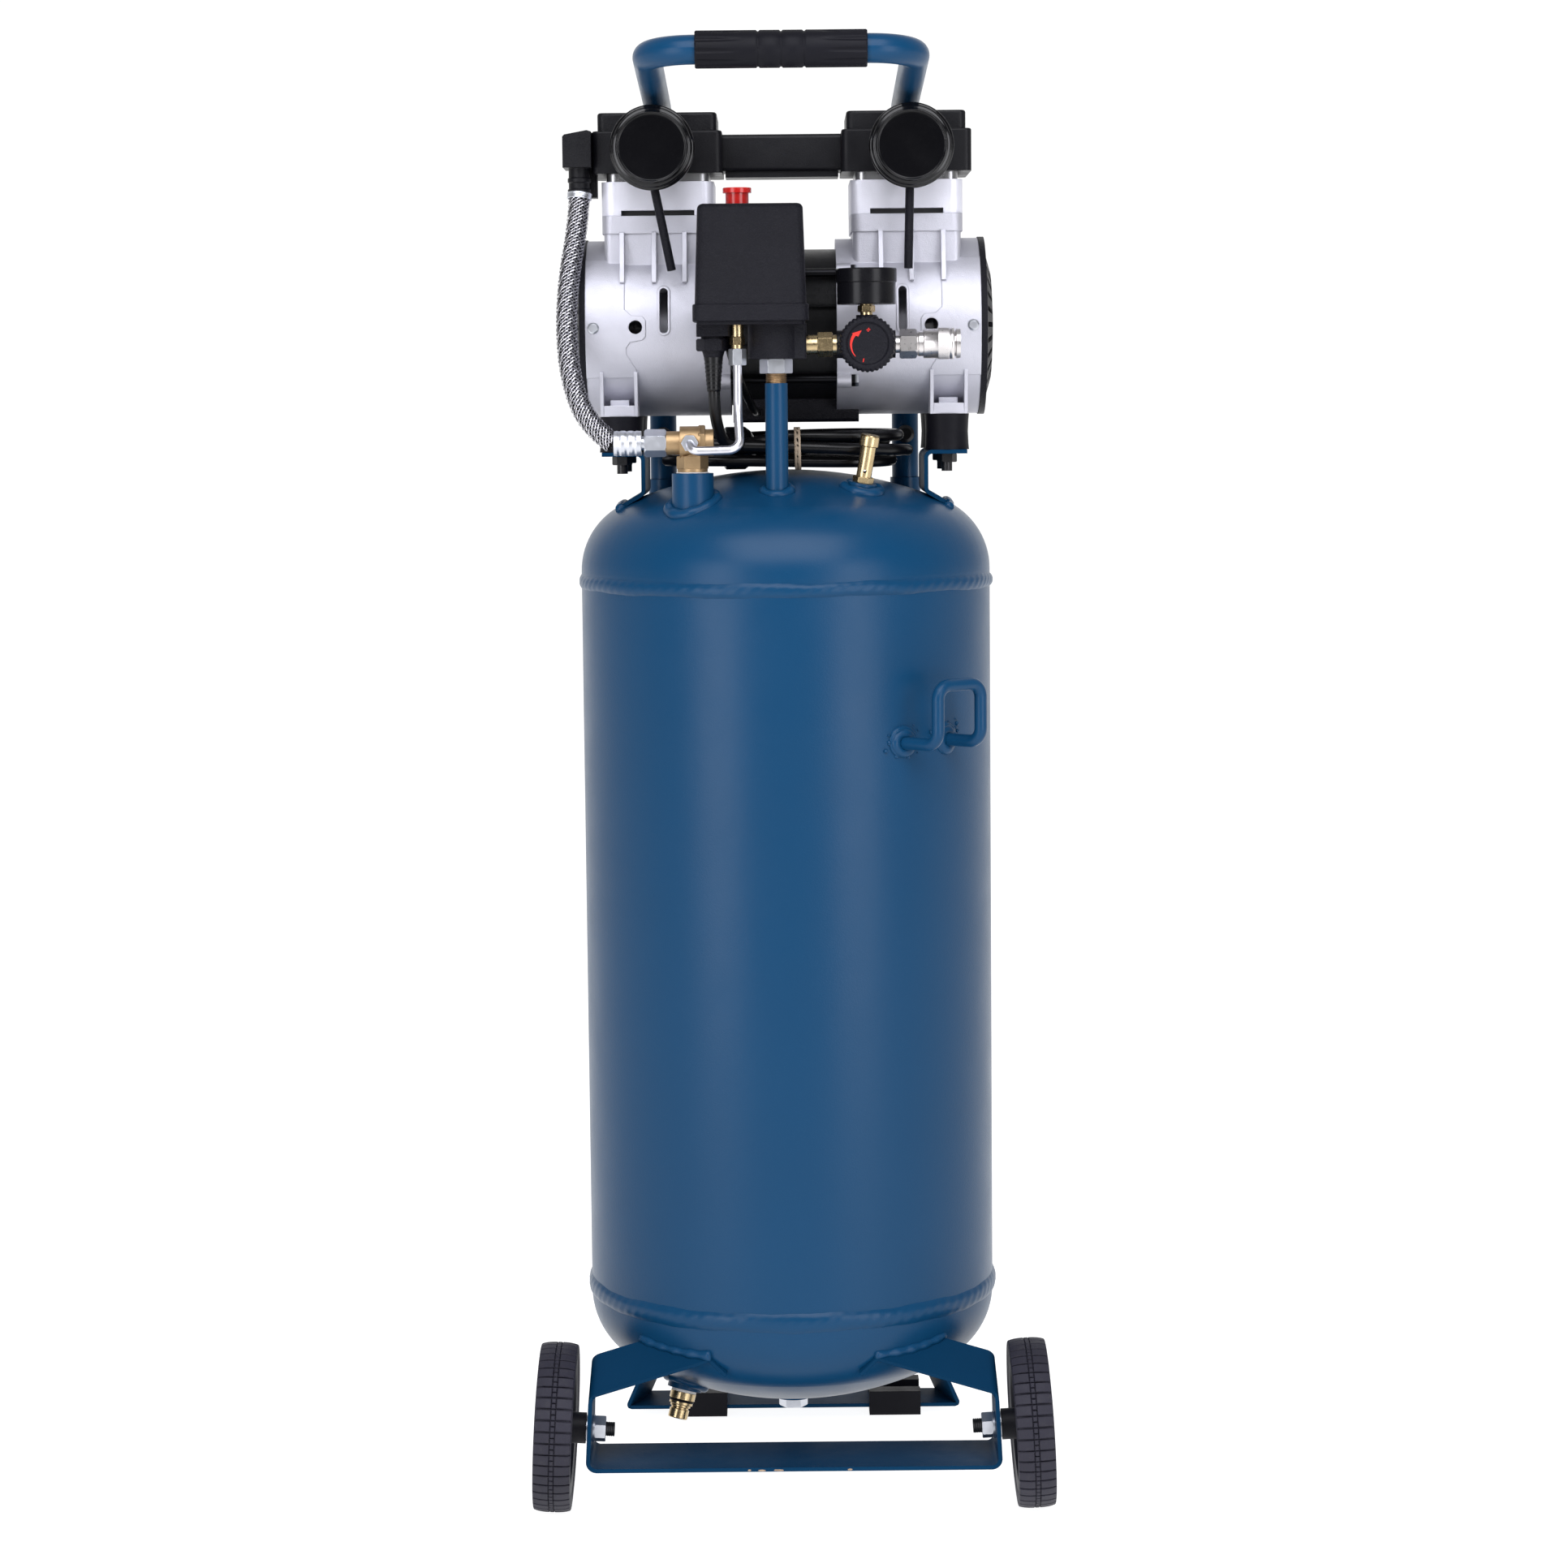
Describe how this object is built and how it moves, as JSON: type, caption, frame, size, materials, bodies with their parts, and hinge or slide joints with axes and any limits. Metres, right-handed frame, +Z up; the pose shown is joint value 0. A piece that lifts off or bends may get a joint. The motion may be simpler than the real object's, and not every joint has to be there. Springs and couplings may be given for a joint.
{
  "type": "vertical air compressor",
  "caption": "Upright blue air tank on two wheels and a rear foot, with an oil-free twin-cylinder pump, pressure switch, regulator, gauge and quick coupler on top and a bow handle.",
  "frame": {"origin": "on the floor, under the middle of the whole object's footprint (wheels, rear foot and handle), without the free power cord", "axes": "+Z up; +X to the right when the pressure switch and gauge are faced; +Y away from the viewer, towards the rear foot, so the front is -Y"},
  "size_m": [0.3872, 0.4014, 1.076],
  "materials": {
    "tank_paint": "gloss",
    "wheel_rim": "satin",
    "tyre": "moulded rubber",
    "rubber": "matte",
    "zinc": "zinc plated",
    "cast_silver": "die cast, painted silver",
    "machined": "machined",
    "steel": "ground",
    "black_plastic": "fine texture",
    "gloss_black": "glossy",
    "head_black": "satin black",
    "lamination": "black lacquer",
    "braid": "woven wire",
    "brass": "turned",
    "aluminium_tube": "drawn",
    "red_plastic": "glossy",
    "nickel": "nickel plated",
    "bolt_black": "black oxide",
    "gauge_black": "gloss black",
    "cable": "smooth sheath"
  },
  "bodies": {
    "frame": {"tank_barrel": "tank_paint", "tank_top_head": "tank_paint", "tank_bottom_head": "tank_paint", "tank_ports": "tank_paint", "axle_bracket": "tank_paint", "rear_foot_bracket": "tank_paint", "foot_pads": "rubber", "axle_bolts": "zinc", "pump_brackets": "tank_paint", "rubber_mounts": "rubber", "crankcases": "cast_silver", "motor_stator": "lamination", "bearings": "steel", "fan_covers": "black_plastic", "cylinder_blocks": "machined", "valve_plates": "steel", "cylinder_heads": "head_black", "pump_screws": "zinc", "bridge_duct": "head_black", "outlet_manifold": "head_black", "filter_bodies": "black_plastic", "filter_covers": "gloss_black", "intake_tubes": "black_plastic", "capacitor_box": "black_plastic", "braided_hose": "braid", "check_valve": "brass", "steel_fittings": "zinc", "unloader_tube": "aluminium_tube", "switch_base": "black_plastic", "switch_cover": "black_plastic", "cable_gland": "black_plastic", "brass_fittings": "brass", "regulator_body": "head_black", "gauge_case": "gauge_black", "coupler_body": "nickel", "safety_valve_body": "brass", "drain_body": "brass", "handle_tube": "tank_paint", "handle_grip": "rubber", "hose_hook": "tank_paint", "frame_bolts": "bolt_black", "cord_lead": "cable", "cord_hank": "cable", "power_plug": "cable", "motor_lead": "cable"},
    "wheel_left": {"wheel_rim_left": "wheel_rim", "tyre_left": "tyre"},
    "wheel_right": {"wheel_rim_right": "wheel_rim", "tyre_right": "tyre"},
    "running_gear": {"motor_rotor": "steel", "crankshaft": "steel", "cooling_fans": "black_plastic"},
    "piston_l": {"piston_left": "machined"},
    "piston_r": {"piston_right": "machined"},
    "knob": {"regulator_knob": "black_plastic"},
    "needle": {"gauge_needle": "red_plastic"},
    "button": {"switch_button": "red_plastic"},
    "valve_cap": {"safety_valve_cap": "brass"},
    "sleeve": {"coupler_sleeve": "nickel"},
    "drain_screw": {"drain_knob": "brass"}
  },
  "joints": [
    {"name": "wheel_left_spin", "type": "hinge", "parent": "frame", "child": "wheel_left", "pos_m": [-0.1765, -0.10075, 0.06315], "axis": [-0.9986, 0, 0.0523], "continuous": true},
    {"name": "wheel_right_spin", "type": "hinge", "parent": "frame", "child": "wheel_right", "pos_m": [0.1765, -0.10075, 0.06315], "axis": [0.9986, 0, 0.0523], "continuous": true},
    {"name": "crank_spin", "type": "hinge", "parent": "frame", "child": "running_gear", "pos_m": [0, 0.02225, 0.875], "axis": [1, 0, 0], "continuous": true},
    {"name": "piston_left_stroke", "type": "slide", "parent": "frame", "child": "piston_l", "axis": [0, 0, 1], "range_m": [-0.006, 0.006]},
    {"name": "piston_right_stroke", "type": "slide", "parent": "frame", "child": "piston_r", "axis": [0, 0, 1], "range_m": [-0.006, 0.006]},
    {"name": "regulator_turn", "type": "hinge", "parent": "frame", "child": "knob", "pos_m": [0.0602, -0.09975, 0.8605], "axis": [0, -1, 0], "range_deg": [0, 720]},
    {"name": "needle_sweep", "type": "hinge", "parent": "frame", "child": "needle", "pos_m": [0.0602, -0.08775, 0.911], "axis": [0, 0, -1], "range_deg": [0, 270]},
    {"name": "button_push", "type": "slide", "parent": "frame", "child": "button", "axis": [0, 0, 1], "range_m": [-0.006, 0]},
    {"name": "valve_cap_pull", "type": "slide", "parent": "frame", "child": "valve_cap", "axis": [0.1701, -0.1, 0.9803], "range_m": [0, 0.003], "stiffness_N_per_m": 600, "springref_m": -0.001},
    {"name": "sleeve_pull", "type": "slide", "parent": "frame", "child": "sleeve", "axis": [-1, 0, 0], "range_m": [0, 0.0035], "stiffness_N_per_m": 500, "springref_m": -0.001},
    {"name": "drain_turn", "type": "hinge", "parent": "frame", "child": "drain_screw", "pos_m": [-0.0864, -0.06225, 0.06344], "axis": [-0.24, -0.2, -0.95], "range_deg": [0, 360]}
  ]
}
